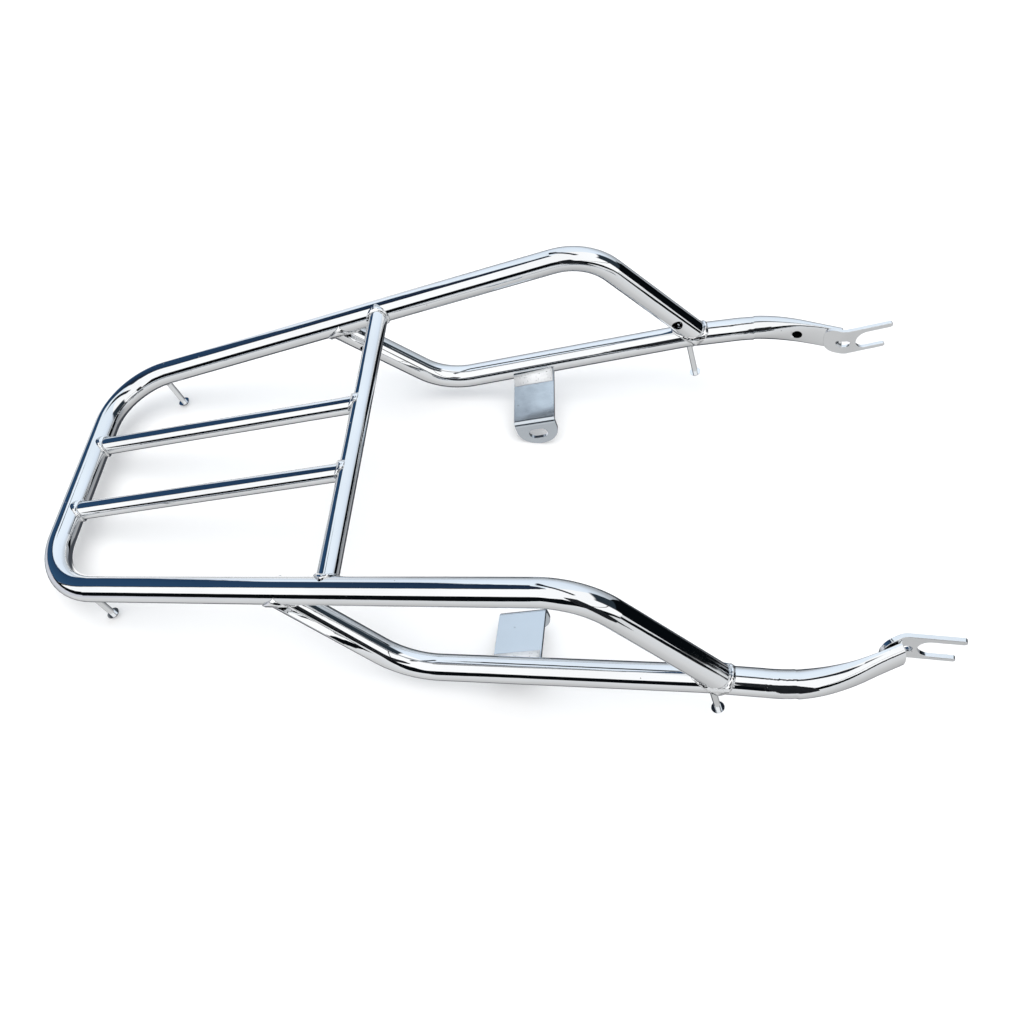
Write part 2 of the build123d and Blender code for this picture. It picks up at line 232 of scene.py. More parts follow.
# %% Material: chrome
def chrome_finish(name, tone, dark, polish, smudges, scratches, waviness, pit_amount):
    """A chrome plating: its colour, the colour in its pits, and how worn it is."""
    material = bpy.data.materials.new(name)
    material.use_nodes = True
    tree = material.node_tree
    shader = tree.nodes["Principled BSDF"]
    shader.inputs["Metallic"].default_value = 1.0
    wear = tree.nodes.new("ShaderNodeGroup")
    wear.node_tree = chrome_wear
    for socket, value in (("Polish", polish), ("Smudges", smudges), ("Scratches", scratches),
                          ("Waviness", waviness), ("Pit Amount", pit_amount)):
        wear.inputs[socket].default_value = value
    place = tree.nodes.new("ShaderNodeTexCoord").outputs["Object"]
    haze = add_node(tree, "ShaderNodeTexNoise", Vector=place, Scale=9.0, Detail=3.0)
    dusk = tuple(0.94 * part for part in tone[:3]) + (1.0,)
    plated = mix_colour(tree, soft_step(tree, haze.outputs[0], 0.4, 0.65), tone, dusk)
    colour = mix_colour(tree, wear.outputs["Pits"], plated, dark)
    tree.links.new(colour, shader.inputs["Base Color"])
    tree.links.new(wear.outputs["Roughness"], shader.inputs["Roughness"])
    tree.links.new(wear.outputs["Normal"], shader.inputs["Normal"])
    return material


tube_chrome = chrome_finish("tube_chrome", tone=(0.82, 0.835, 0.85, 1.0), dark=grey(0.25), polish=0.035,
                            smudges=0.035, scratches=0.05, waviness=0.05, pit_amount=0.006)
plate_chrome = chrome_finish("plate_chrome", tone=(0.80, 0.815, 0.83, 1.0), dark=grey(0.12), polish=0.09,
                             smudges=0.05, scratches=0.06, waviness=0.05, pit_amount=0.02)
# The straps' chrome is bluer than the tubes': that blue cast is a painted reflection of the sky above them,
# laid over the plating's own tone.
strap_chrome = chrome_finish("strap_chrome", tone=(0.60, 0.65, 0.70, 1.0), dark=grey(0.10), polish=0.12,
                             smudges=0.06, scratches=0.08, waviness=0.06, pit_amount=0.03)
print("materials:", tube_chrome.name, plate_chrome.name, strap_chrome.name)


# %% [markdown]
# ## Chrome over the weld beads
#
# The beads were welded before the rack was plated, so they are chromed too. Most were ground a little and
# shine like the tubes with a softer mirror. The short beads on the straps were left as they were: pale,
# rough and speckled with dark craters, so they are only partly metallic. One function makes both.

# %% Material: plated weld
def plated_weld(name, metallic, base_roughness, grain_roughness, craters, ripple):
    material = bpy.data.materials.new(name)
    material.use_nodes = True
    tree = material.node_tree
    shader = tree.nodes["Principled BSDF"]
    shader.inputs["Metallic"].default_value = metallic
    place = tree.nodes.new("ShaderNodeTexCoord").outputs["Object"]
    grain = add_node(tree, "ShaderNodeTexNoise", Vector=place, Scale=650.0, Detail=3.0, Roughness=0.7)
    lump = add_node(tree, "ShaderNodeTexNoise", Vector=place, Scale=260.0, Detail=1.0)
    crater = soft_step(tree, grain.outputs[0], craters, craters + 0.1)
    colour = mix_colour(tree, crater, (0.84, 0.85, 0.86, 1.0), (0.06, 0.06, 0.07, 1.0))
    tree.links.new(colour, shader.inputs["Base Color"])
    rough = sum_up(tree, "MULTIPLY_ADD", grain.outputs[0], grain_roughness, base_roughness)
    tree.links.new(rough, shader.inputs["Roughness"])
    rolled = add_node(tree, "ShaderNodeBump", Strength=ripple, Distance=0.0008, Height=lump.outputs[0])
    fine = add_node(tree, "ShaderNodeBump", Strength=ripple * 0.5, Distance=0.0003, Height=grain.outputs[0],
                    Normal=rolled.outputs[0])
    tree.links.new(fine.outputs[0], shader.inputs["Normal"])
    return material


ground_weld = plated_weld("ground_weld", 1.0, 0.05, 0.10, craters=0.70, ripple=0.22)
raw_weld = plated_weld("raw_weld", 0.15, 0.18, 0.30, craters=0.60, ripple=0.4)
print("materials:", ground_weld.name, raw_weld.name)

# %% [markdown]
# ## Copies that may be worked on
#
# The CAD pieces stay as they are, because the frame is checked against them. A piece that needs a rounded
# edge, a crown or an uneven skin is copied instead. The copy's loose triangles are merged first, so that an
# operator sees one closed skin, and then the copy stands in for the CAD piece.

# %% Copy a CAD piece
merge_distance = 2e-6
shown = dict(frame["nodes"])


def merged_copy(name):
    """The skin of a CAD piece as one closed bmesh."""
    skin = bmesh.new()
    skin.from_mesh(frame["nodes"][name].data)
    bmesh.ops.remove_doubles(skin, verts=skin.verts, dist=merge_distance)
    return skin


def stand_in(skin, name, ending, sharp_from=35.0):
    """Show this bmesh in place of the CAD piece, smooth but for its sharp edges."""
    mesh = bpy.data.meshes.new(name + ending)
    for face in skin.faces:
        face.smooth = True
    skin.to_mesh(mesh)
    skin.free()
    mesh.set_sharp_from_angle(angle=radians(sharp_from))
    piece = bpy.data.objects.new(name + ending, mesh)
    bpy.context.scene.collection.objects.link(piece)
    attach(piece, "root")
    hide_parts(name)
    shown[name] = piece
    return piece


# %% [markdown]
# ## Stamped plates with broken edges
#
# The fork plates and the straps were stamped from sheet and tumbled before plating, so no edge is knife
# sharp: each one carries a thin bright line. The CAD has square edges. Flat areas are first joined into
# single faces, and a bevel then rounds every real edge. Normals weighted by area keep the flat faces flat in
# the mirror.

# %% Round the plates' edges
plate_edge_round = {"fork_plate": 0.0011, "bracket": 0.0005}

for stem, reach in plate_edge_round.items():
    for side in ("left", "right"):
        skin = merged_copy(f"{stem}_{side}")
        bmesh.ops.dissolve_limit(skin, angle_limit=radians(0.6), verts=skin.verts, edges=skin.edges)
        plate = stand_in(skin, f"{stem}_{side}", "_tumbled")
        edge = plate.modifiers.new("broken_edge", "BEVEL")
        edge.width, edge.segments, edge.profile = reach, 3, 0.5
        edge.limit_method, edge.angle_limit = "ANGLE", radians(40)
        edge.use_clamp_overlap = True
        plate.modifiers.new("flat_faces", "WEIGHTED_NORMAL").weight = 100
        print(plate.name, "faces before the bevel:", len(plate.data.polygons))

# %% [markdown]
# ## Pressed ends of the side rails
#
# In front, each side rail is pressed against its fork plate. The inner face goes flat, but the outer face
# stays crowned, so it still mirrors in bands like a tube. The CAD's press is flat on both faces. An operator
# such as spin keeps one section all the way, and this section changes along the run. So a copy of the rail
# is cut where the press starts, and new rings are drawn from the cut's own vertices along the rail's axis:
# straight, round the outer bend and straight again. The first ring is the cut itself, so no seam can show.

# %% Axis of the pressed run
knee = Vector((0.3456, 0.159, -0.1209))
outer_bend = Vector((0.4139, 0.1657, -0.1322))
front_end = Vector((0.4694, 0.1414, -0.139))
bend_radius = 0.113
rail_fall = 0.137

before = (outer_bend - knee).normalized()
after = (front_end - outer_bend).normalized()
turn_angle = before.angle(after)
bend_starts = outer_bend - before * bend_radius * tan(turn_angle / 2)
bend_ends = outer_bend + after * bend_radius * tan(turn_angle / 2)
bend_length = bend_radius * turn_angle
outwards_before = Vector((-before.y, before.x, 0.0)).normalized()
bend_centre = bend_starts - outwards_before * bend_radius
print("bend, degrees:", round(degrees(turn_angle), 1))


def axis_at(distance):
    """Point, outward direction and upward direction of the rail's axis, from the bend's start on."""
    swing = min(distance / bend_radius, turn_angle)
    outwards = Matrix.Rotation(-swing, 3, "Z") @ outwards_before
    point = bend_centre + outwards * bend_radius
    share = min(distance / bend_length, 1.0)
    point.z = bend_starts.z + (bend_ends.z - bend_starts.z) * share
    if distance > bend_length:
        point += after * (distance - bend_length)
    upwards = Vector((outwards.y * rail_fall, -outwards.x * rail_fall, 1.0))
    return point, outwards, (upwards - outwards * upwards.dot(outwards)).normalized()


# %% [markdown]
# The section starts as the tube's circle. The press takes thickness away and adds a little height, and it
# comes in slowly and goes out slowly, as a cosine does. One function gives any point of the skin by its
# distance along the rail and its angle round the section. The normal there is square to two short steps.

# %% Section of the pressed run
tube_width = 0.019
tube_wall = 0.0015
press_from, press_to, rail_end = 0.0143, 0.0761, 0.0852
thickness_lost, height_gained = 0.015, 0.00175
crown = 0.0045
squareness = 4
short_step = 1e-4


def press_share(distance):
    """How far the press has gone: 0 where the tube is round, 1 where it is fully pressed."""
    way = max(0.0, min(1.0, (distance - press_from) / (press_to - press_from)))
    return (1 - cos(pi * way)) / 2


def half_height(distance):
    return tube_width / 2 + height_gained * press_share(distance)


def pressed_point(distance, angle, shrink=0.0):
    """A point of the skin: on a circle before the press, flat inside and crowned outside after it."""
    pressed = press_share(distance)
    half_thickness = (tube_width - thickness_lost * pressed) / 2 - shrink
    across = cos(angle)
    if across > 0:
        across *= half_thickness + crown * pressed
    else:
        across = -half_thickness * abs(across) ** (2 / (2 + squareness * pressed))
    point, outwards, upwards = axis_at(distance)
    return point + outwards * across + upwards * sin(angle) * (half_height(distance) - shrink)


def pressed_normal(distance, angle):
    """The direction square to the skin, pointing outwards."""
    round_it = pressed_point(distance, angle + short_step) - pressed_point(distance, angle - short_step)
    along = pressed_point(distance + short_step, angle) - pressed_point(distance - short_step, angle)
    normal = round_it.cross(along).normalized()
    outside = pressed_point(distance, angle) - axis_at(distance)[0]
    return normal if normal.dot(outside) > 0 else -normal


print("pressed thickness, mm:", round(1000 * (tube_width - thickness_lost + crown), 1))

# %% [markdown]
# The cut leaves two rims, one outside and one in the bore, and the outer one is the first ring. The right
# rail is mirrored to the left side for the work and back at its end, so both are made by the same steps.

# %% Cut a rail where the press starts
mirror_y = Matrix.Scale(-1, 4, (0, 1, 0))


def cut_rail(side):
    """The rail up to the cut, its outer rim, each rim vertex's angle, and the rim's way off the axis."""
    skin = merged_copy(f"side_rail_{side}")
    if side == "right":
        bmesh.ops.transform(skin, matrix=mirror_y, verts=skin.verts)
    cut_at, outwards, upwards = axis_at(press_from)
    forwards = outwards.cross(upwards)
    if forwards.x < 0:
        forwards.negate()
    cut = bmesh.ops.bisect_plane(skin, geom=skin.verts[:] + skin.edges[:] + skin.faces[:], dist=1e-7,
                                 plane_co=cut_at, plane_no=forwards, clear_outer=True)
    mid_wall = (tube_width - tube_wall) / 2
    rim = [item for item in cut["geom_cut"]
           if isinstance(item, bmesh.types.BMVert) and (item.co - cut_at).length > mid_wall]
    middle = sum((vert.co for vert in rim), Vector()) / len(rim)
    angles = {vert: atan2((vert.co - middle).dot(upwards), (vert.co - middle).dot(outwards)) for vert in rim}
    ring = sorted(rim, key=angles.get)
    return skin, ring, [angles[vert] for vert in ring], middle - cut_at


# %% [markdown]
# The rings run to the rail's closed end, where the tube's rim turns in to a plug. On the inner face a window
# is left open round the vent hole, which lets the plating bath drain on the real rack.

# %% Draw the pressed run
ring_count = 60
offset_fades_over = 0.03
end_rim = ((0.0007, 0.0), (0.0002, 0.0002), (0.0, 0.0006), (0.0003, 0.0013), (0.012, 0.0014))
vent_at, vent_radius, vent_margin = 0.0507, 0.0042, 0.0016


def over_vent(distance, point, angle):
    """Whether the vent hole or its margin covers this point, which is on the inner face then."""
    reach = vent_radius + vent_margin
    beside = abs((point - axis_at(distance)[0]).z)
    return abs(distance - vent_at) < reach and cos(angle) < 0 and beside < reach


def draw_run(skin, ring, ring_angles, offset):
    """Rings up to the closed end. Gives the exact normals, the new faces and the window's vertices."""
    stations = [(press_from + (rail_end - press_from) * step / ring_count, 0.0)
                for step in range(1, ring_count)]
    stations += [(rail_end - short_of, shrink) for short_of, shrink in end_rim]
    normal_of = {vert: pressed_normal(press_from, angle) for vert, angle in zip(ring, ring_angles)}
    new_faces, window, covered = [], set(), [False] * len(ring)
    for distance, shrink in stations:
        fading = offset * max(0.0, 1 - (distance - press_from) / offset_fades_over)
        following = [skin.verts.new(pressed_point(distance, angle, shrink) + fading)
                     for angle in ring_angles]
        covers = [over_vent(distance, vert.co, angle) for vert, angle in zip(following, ring_angles)]
        if shrink == 0.0:
            normal_of.update((vert, pressed_normal(distance, angle))
                             for vert, angle in zip(following, ring_angles))
        for place in range(len(ring)):
            beside = (place + 1) % len(ring)
            corners = (ring[place], ring[beside], following[beside], following[place])
            if covered[place] and covered[beside] and covers[beside] and covers[place]:
                window.update(corners)
                continue
            skin.faces.new(corners)
            if shrink == 0.0:
                new_faces.append(corners)
        ring, covered = following, covers
    skin.faces.new(ring)
    return normal_of, new_faces, window


# %% [markdown]
# The hole's rim is a circle laid on the skin. Bridging joins it to the window's edge, and a wall as deep as
# the tube's own goes in from it. Behind it, a cup stands for the bare inside of the tube, coloured near-black
# as painted shade.

# %% Open and line the vent hole
vent_sides = 32
cup_depth = 0.006


def open_vent(skin, window, normal_of):
    """The rim, the faces round it and the wall. Gives those faces and the inner edge's points."""
    window_edges = [edge for edge in skin.edges if edge.is_boundary
                    and edge.verts[0] in window and edge.verts[1] in window]
    circle = []
    for step in range(vent_sides):
        around = 2 * pi * step / vent_sides
        distance = vent_at + vent_radius * cos(around)
        angle = pi - asin(vent_radius * sin(around) / half_height(vent_at))
        circle.append(skin.verts.new(pressed_point(distance, angle)))
        normal_of[circle[-1]] = pressed_normal(distance, angle)
    circle_edges = [skin.edges.new((circle[step - 1], circle[step])) for step in range(vent_sides)]
    bridged = bmesh.ops.bridge_loops(skin, edges=window_edges + circle_edges)["faces"]
    round_hole = [tuple(face.verts) for face in bridged]
    inwards = axis_at(vent_at)[1]
    depth = [skin.verts.new(vert.co + inwards * tube_wall) for vert in circle]
    for step in range(vent_sides):
        skin.faces.new((circle[step - 1], circle[step], depth[step], depth[step - 1]))
    return round_hole, [vert.co.copy() for vert in depth]


def line_vent(side, rim):
    """The cup behind the hole, open towards it."""
    cup = bmesh.new()
    inwards = axis_at(vent_at)[1]
    upper = [cup.verts.new(point) for point in rim]
    lower = [cup.verts.new(point + inwards * cup_depth) for point in rim]
    for step in range(vent_sides):
        cup.faces.new((upper[step - 1], upper[step], lower[step], lower[step - 1]))
    cup.faces.new(lower)
    if side == "right":
        bmesh.ops.transform(cup, matrix=mirror_y, verts=cup.verts)
    bmesh.ops.recalc_face_normals(cup, faces=cup.faces)
    bmesh.ops.reverse_faces(cup, faces=cup.faces)
    mesh = bpy.data.meshes.new(f"vent_inside_{side}")
    cup.to_mesh(mesh)
    cup.free()
    vent_inside = bpy.data.objects.new(f"vent_inside_{side}", mesh)
    bpy.context.scene.collection.objects.link(vent_inside)
    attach(vent_inside, "root")
    return vent_inside


# %% [markdown]
# A mirror shows every fault of a skin's normals. Averages over long triangles would make its lines ragged,
# so the rail gets exact ones: the CAD's own where the skin is the CAD's, and the section's where it is new.
# Each corner looks for the skin right under it, and takes the normal there that points nearly its own way,
# so that a corner on a sharp edge doesn't take the normal of the face round the edge.

# %% Exact normals for a rail
skin_reach = 3e-5
same_way = 0.93


def exact_normals(rail, name, new_points, new_normals, new_faces):
    """Give each corner of the rail the exact normal of the skin at its place."""
    source = frame["nodes"][name].data
    source.calc_loop_triangles()
    corners = [corner.vector.copy() for corner in source.corner_normals]
    points = [vert.co.copy() for vert in source.vertices] + new_points
    faces = [tuple(triangle.vertices) for triangle in source.loop_triangles]
    normals = [[corners[number] for number in triangle.loops] for triangle in source.loop_triangles]
    shift = len(source.vertices)
    for face in new_faces:
        faces.append(tuple(shift + number for number in face))
        normals.append([new_normals[number] for number in face])
    skin = bvhtree.BVHTree.FromPolygons(points, faces)
    mesh = rail.data
    averaged = [corner.vector.copy() for corner in mesh.corner_normals]
    chosen = []
    for corner, guess in zip(mesh.loops, averaged):
        best, likeness = guess, same_way
        for spot, _, number, _ in skin.find_nearest_range(mesh.vertices[corner.vertex_index].co, skin_reach):
            shares = poly_3d_calc([points[vertex] for vertex in faces[number]], spot)
            exact = sum((normal * share for normal, share in zip(normals[number], shares)), Vector())
            if exact.length > 0.5 and exact.normalized().dot(guess) > likeness:
                best = exact.normalized()
                likeness = best.dot(guess)
        chosen.append(best)
    mesh.normals_split_custom_set(chosen)


# %% Crown the pressed ends
vent_insides = []

for side in ("left", "right"):
    skin, ring, ring_angles, offset = cut_rail(side)
    normal_of, new_faces, window = draw_run(skin, ring, ring_angles, offset)
    round_hole, hole_depth = open_vent(skin, window, normal_of)
    bmesh.ops.delete(skin, geom=[vert for vert in skin.verts if not vert.link_faces], context="VERTS")

    kept = [vert for vert in normal_of if vert.is_valid]
    order = {vert: number for number, vert in enumerate(kept)}
    new_points = [vert.co.copy() for vert in kept]
    new_normals = [normal_of[vert] for vert in kept]
    new_faces = [tuple(order[vert] for vert in corners) for corners in new_faces + round_hole]
    bmesh.ops.recalc_face_normals(skin, faces=skin.faces)
    if side == "right":
        bmesh.ops.transform(skin, matrix=mirror_y, verts=skin.verts)
        bmesh.ops.reverse_faces(skin, faces=skin.faces)
        new_points = [mirror_y @ point for point in new_points]
        new_normals = [mirror_y @ normal for normal in new_normals]
    rail = stand_in(skin, f"side_rail_{side}", "_crowned")
    exact_normals(rail, f"side_rail_{side}", new_points, new_normals, new_faces)
    vent_insides.append(line_vent(side, hole_depth))
    print(rail.name, "ring of", len(ring_angles), "cut off axis by, mm:", round(1000 * offset.length, 2))

# %% [markdown]
# ## Beads with an uneven skin
#
# A bead is laid by hand, drop after drop, so its skin rolls. The CAD's beads are smooth. Their copies are
# pushed in and out by a noise of a few tenths of a millimetre. The beads round the descender feet were also
# ground down, so their copies start a little lower.

# %% Roll the beads' skin
bead_roll = 0.00028
coarse_waves, fine_waves = 420, 900
ground_down = {"weld_descender": 0.00045, "weld_riser": 0.0003}
least_ground = 0.0001

for name in [name for name in frame["nodes"] if name.startswith("weld_")]:
    skin = merged_copy(name)
    skin.normal_update()
    lower = ground_down.get(name.rsplit("_", 1)[0], least_ground)
    for vert in skin.verts:
        rolled = noise.noise(vert.co * coarse_waves) + 0.5 * noise.noise(vert.co * fine_waves)
        vert.co += vert.normal * (bead_roll * rolled - lower)
    stand_in(skin, name, "_rolled", sharp_from=80.0)
print("beads rolled:", sum(name.startswith("weld_") for name in shown))

# %% [markdown]
# ## Give each piece its finish
#
# The frame's pieces already have a slot from the record, so only the material in it changes. Stamped plates
# and straps get their own finish, beads the weld finishes, and everything that was drawn or turned round
# gets the tube finish. A copy is painted like the piece that it stands in for.

# %% Paint the frame
for name, piece in frame["nodes"].items():
    if name.startswith("weld_bracket_"):
        finish = raw_weld
    elif name.startswith("weld_"):
        finish = ground_weld
    elif name.startswith("bracket_"):
        # Straps: chrome whose colour carries a painted sky-blue reflection
        finish = strap_chrome
    elif name.startswith("fork_plate_"):
        finish = plate_chrome
    else:
        finish = tube_chrome
    for painted in {piece, shown[name]}:
        painted.data.materials.clear()
        painted.data.materials.append(finish)
copies = [name for name in shown if shown[name] != frame["nodes"][name]]
print("painted:", len(shown), "pieces and", len(copies), "copies")

# %% [markdown]
# ## Bare steel, painted dark for shade, behind the vent holes
#
# Plating hardly reaches the inside of a tube, so a vent hole looks dark, and the inside also lies in shade. A
# hole with nothing behind it would do, but its wall still catches the white of the room. The dull cups keep
# that light out, and their near-black colour is painted shade on top of the bare steel.

# %% Material: bare steel
# Near-black tone: painted shade of the tube's inside, on top of dull bare steel
bare_steel = chrome_finish("bare_steel", tone=(0.05, 0.05, 0.055, 1.0), dark=grey(0.02), polish=0.45,
                           smudges=0.1, scratches=0.05, waviness=0.02, pit_amount=0.1)
for vent_inside in vent_insides:
    vent_inside.data.materials.append(bare_steel)
print("bare steel:", [piece.name for piece in vent_insides])

# %% [markdown]
# ## Floor
#
# The rack lies on white paper that the photograph shows as plain white, with soft shadows under the tubes.
# It doesn't stand level: it rests on the heads of the rear pegs and on the tabs of the straps, and the
# paper is drawn through them. Chrome mirrors the painted studio instead of this sheet.

# %% Floor: sheet
peg_heads = Vector((-0.079, 0.0, -0.0485))
tab_tips = Vector((0.214, 0.0, -0.1516))
floor_reach = 30.0
tilt = atan2(peg_heads.z - tab_tips.z, tab_tips.x - peg_heads.x)

sheet = bmesh.new()
bmesh.ops.create_grid(sheet, x_segments=1, y_segments=1, size=floor_reach,
                      matrix=Matrix.Translation(tab_tips) @ Matrix.Rotation(tilt, 4, "Y"))
floor_mesh = bpy.data.meshes.new("floor")
sheet.to_mesh(floor_mesh)
sheet.free()
floor = bpy.data.objects.new("floor", floor_mesh)
bpy.context.scene.collection.objects.link(floor)
floor.visible_glossy = False
print("floor tilt, degrees:", round(degrees(tilt), 1))

# %% [markdown]
# The paper's own white takes the lamp's light as paper does. A little light of its own, which only the camera
# sees, lifts it to the white of the page. Farther out, where no shadow falls, that light takes over. From
# below, the sheet can be seen through.

# %% Floor: paper
paper_white = 0.8
page_white = (1.0, 0.99, 0.98, 1.0)
glow_from, glow_to = 0.6, 1.6

paper = bpy.data.materials.new("paper")
paper.use_nodes = True
tree = paper.node_tree
tree.nodes.clear()
place = tree.nodes.new("ShaderNodeTexCoord").outputs["Object"]
middle = add_node(tree, "ShaderNodeMapping", Vector=place, Location=-tab_tips)
away = tree.nodes.new("ShaderNodeVectorMath")
away.operation = "LENGTH"
tree.links.new(middle.outputs[0], away.inputs[0])
far_off = soft_step(tree, away.outputs["Value"], glow_from, glow_to)
to_camera = tree.nodes.new("ShaderNodeLightPath").outputs["Is Camera Ray"]
glow_share = sum_up(tree, "MULTIPLY_ADD", far_off, paper_white, 1 - paper_white)
lift = sum_up(tree, "MULTIPLY", to_camera, glow_share)
paper_tone = mix_colour(tree, sum_up(tree, "MULTIPLY", to_camera, far_off), grey(paper_white), grey(0.0))
lit = add_node(tree, "ShaderNodeBsdfDiffuse", Color=paper_tone)
glow = add_node(tree, "ShaderNodeEmission", Color=page_white, Strength=lift)
both = tree.nodes.new("ShaderNodeAddShader")
tree.links.new(lit.outputs[0], both.inputs[0])
tree.links.new(glow.outputs[0], both.inputs[1])
see_through = tree.nodes.new("ShaderNodeMixShader")
tree.links.new(tree.nodes.new("ShaderNodeNewGeometry").outputs["Backfacing"], see_through.inputs[0])
tree.links.new(both.outputs[0], see_through.inputs[1])
tree.links.new(tree.nodes.new("ShaderNodeBsdfTransparent").outputs[0], see_through.inputs[2])
tree.links.new(see_through.outputs[0], tree.nodes.new("ShaderNodeOutputMaterial").inputs[0])
floor_mesh.materials.append(paper)
print("paper nodes:", len(tree.nodes))

# %% [markdown]
# ## The studio that the chrome mirrors
#
# A mirror has no look of its own: its bands are the room. The room here is a photographer's corner. A broad
# white screen hangs over the near side, a dark blue gap lies beside it towards the far left, pale daylight
# fills the far side, and a dark band runs round the horizon where the paper ends. It could be built from
# cards and lamps. It is painted on the world instead, by direction, because a direction needs no size and
# the bands can be moved one by one. Heading is 0 towards the near side and grows to the right.

# %% World: directions
world = bpy.data.worlds.new("studio")
bpy.context.scene.world = world
world.use_nodes = True
tree = world.node_tree
tree.nodes.clear()
direction = tree.nodes.new("ShaderNodeTexCoord").outputs["Generated"]
east, north, up = add_node(tree, "ShaderNodeSeparateXYZ", Vector=direction).outputs
to_degrees = 180 / 3.14159
height = sum_up(tree, "MULTIPLY", sum_up(tree, "ARCSINE", up), to_degrees)
towards_near = sum_up(tree, "MULTIPLY", north, -1.0)
heading = sum_up(tree, "MULTIPLY", sum_up(tree, "ARCTAN2", east, towards_near), to_degrees)
print("direction nodes:", len(tree.nodes))

# %% [markdown]
# Each thing in the room is a mask, 1 where it is seen and 0 elsewhere, with a colour mixed in by it. Straight
# edges of cards and screens are planes through the eye. Things that stand on the horizon lie between two
# headings and two heights, and the band round the horizon follows a curve of heights.

# %% World: masks
def looking_at(across, along, rise):
    """How nearly a ray goes a given way: 1 straight along it, 0 square to it."""
    first = sum_up(tree, "MULTIPLY", east, across)
    second = sum_up(tree, "MULTIPLY_ADD", north, along, first)
    return sum_up(tree, "MULTIPLY_ADD", up, rise, second)


def plane_side(across, along, rise, softness=0.02):
    """1 on the side of a plane through the eye that the three numbers point to, 0 on the other side."""
    return soft_step(tree, looking_at(across, along, rise), -softness, softness)


def both_of(first, second):
    return sum_up(tree, "MULTIPLY", first, second)


def either_of(first, second):
    return sum_up(tree, "MAXIMUM", first, second)


def between_values(value, low, high, softness):
    """1 where a value lies between two others."""
    return both_of(soft_step(tree, value, low - softness, low + softness),
                   soft_step(tree, value, high + softness, high - softness))


def share_of_way(value, start, end):
    """How far a value has come from start to end, from 0 to 1."""
    node = tree.nodes.new("ShaderNodeMapRange")
    for name, number in (("Value", value), ("From Min", start), ("From Max", end)):
        feed(tree, node.inputs[name], number)
    return node.outputs[0]


def ramp(value, *stops):
    """Colours at chosen places of a value that runs from 0 to 1."""
    node = tree.nodes.new("ShaderNodeValToRGB")
    feed(tree, node.inputs[0], value)
    elements = node.color_ramp.elements
    elements[0].position, elements[1].position = stops[0][0], stops[-1][0]
    elements[0].color, elements[1].color = stops[0][1], stops[-1][1]
    for position, colour in stops[1:-1]:
        elements.new(position).color = colour
    return node.outputs[0]


def along_heading(low, high, *points):
    """A value between low and high that changes with the heading: points are (heading, value)."""
    node = tree.nodes.new("ShaderNodeFloatCurve")
    feed(tree, node.inputs["Value"], share_of_way(heading, -180.0, 180.0))
    curve = node.mapping.curves[0]
    placed = [((turned + 180) / 360, (value - low) / (high - low)) for turned, value in points]
    curve.points[0].location, curve.points[-1].location = placed[0], placed[-1]
    for spot in placed[1:-1]:
        curve.points.new(*spot)
    for point in curve.points:
        point.handle_type = "VECTOR"
    node.mapping.update()
    return sum_up(tree, "MULTIPLY_ADD", node.outputs[0], high - low, low)


# %% [markdown]
# The floor seen in the chrome is the white paper, darker straight below, where the rack shades it, and on the
# far side. Above the horizon there is pale daylight on the far side and a plain grey wall on the near side.
# Colour ramps by height do both, since paper and daylight change slowly from bottom to top.

# %% World: floor and sky
share_down = share_of_way(height, -90.0, 0.0)
near_floor = ramp(share_down, (0.0, grey(0.38)), (0.25, grey(0.48)), (0.45, grey(0.55)), (0.6, grey(0.63)),
                  (0.78, (0.67, 0.68, 0.69, 1.0)), (1.0, (0.74, 0.75, 0.76, 1.0)))
far_floor = ramp(share_down, (0.0, grey(0.38)), (0.45, grey(0.40)), (0.7, (0.27, 0.28, 0.30, 1.0)),
                 (1.0, (0.46, 0.50, 0.54, 1.0)))
floor_seen = mix_colour(tree, plane_side(0.0, 1.0, 0.0, softness=0.35), near_floor, far_floor)

# Dark patch of floor beyond the rack, which draws the thin dark outline of every tube
dark_patch = soft_step(tree, looking_at(-0.268, 0.585, -0.766), 0.68, 0.84)
floor_seen = mix_colour(tree, dark_patch, floor_seen, (0.055, 0.06, 0.07, 1.0))

share_up = share_of_way(height, 0.0, 90.0)
pale_sky = ramp(share_up, (0.0, (0.48, 0.52, 0.56, 1.0)), (0.25, (0.74, 0.82, 0.92, 1.0)),
                (0.5, (0.80, 0.88, 0.96, 1.0)), (1.0, (0.82, 0.90, 0.97, 1.0)))
above_floor = mix_colour(tree, plane_side(0.0, -1.0, 0.0, softness=0.1), pale_sky, grey(0.62))
room = mix_colour(tree, soft_step(tree, up, -0.01, 0.01), floor_seen, above_floor)
print("nodes with floor and sky:", len(tree.nodes))

# %% [markdown]
# Beside the screen, towards the far left, the room is open and dark, and it is seen as a navy stripe along
# the top of each deck bar, the cross bar and the rear bend. Three planes cut it out, and it turns bluer to
# the left.

# %% World: dark blue gap
blue = ramp(sum_up(tree, "MULTIPLY", east, -1.0), (0.0, (0.03, 0.035, 0.05, 1.0)),
            (0.25, (0.012, 0.02, 0.04, 1.0)), (0.6, (0.02, 0.055, 0.12, 1.0)), (1.0, (0.03, 0.08, 0.16, 1.0)))
gap = both_of(both_of(plane_side(-1.5, -1.0, 0.03), plane_side(0.0, 1.0, 0.04)),
              soft_step(tree, height, 6.0, 14.0))
room = mix_colour(tree, gap, room, blue)
print("nodes with the gap:", len(tree.nodes))

# %% [markdown]
# The screen gives the broad white stripes. Its left end and its frame's bar are thin and nearly black, and
# they draw the fine dark lines beside the white. Only their directions matter, so thin masks are enough.

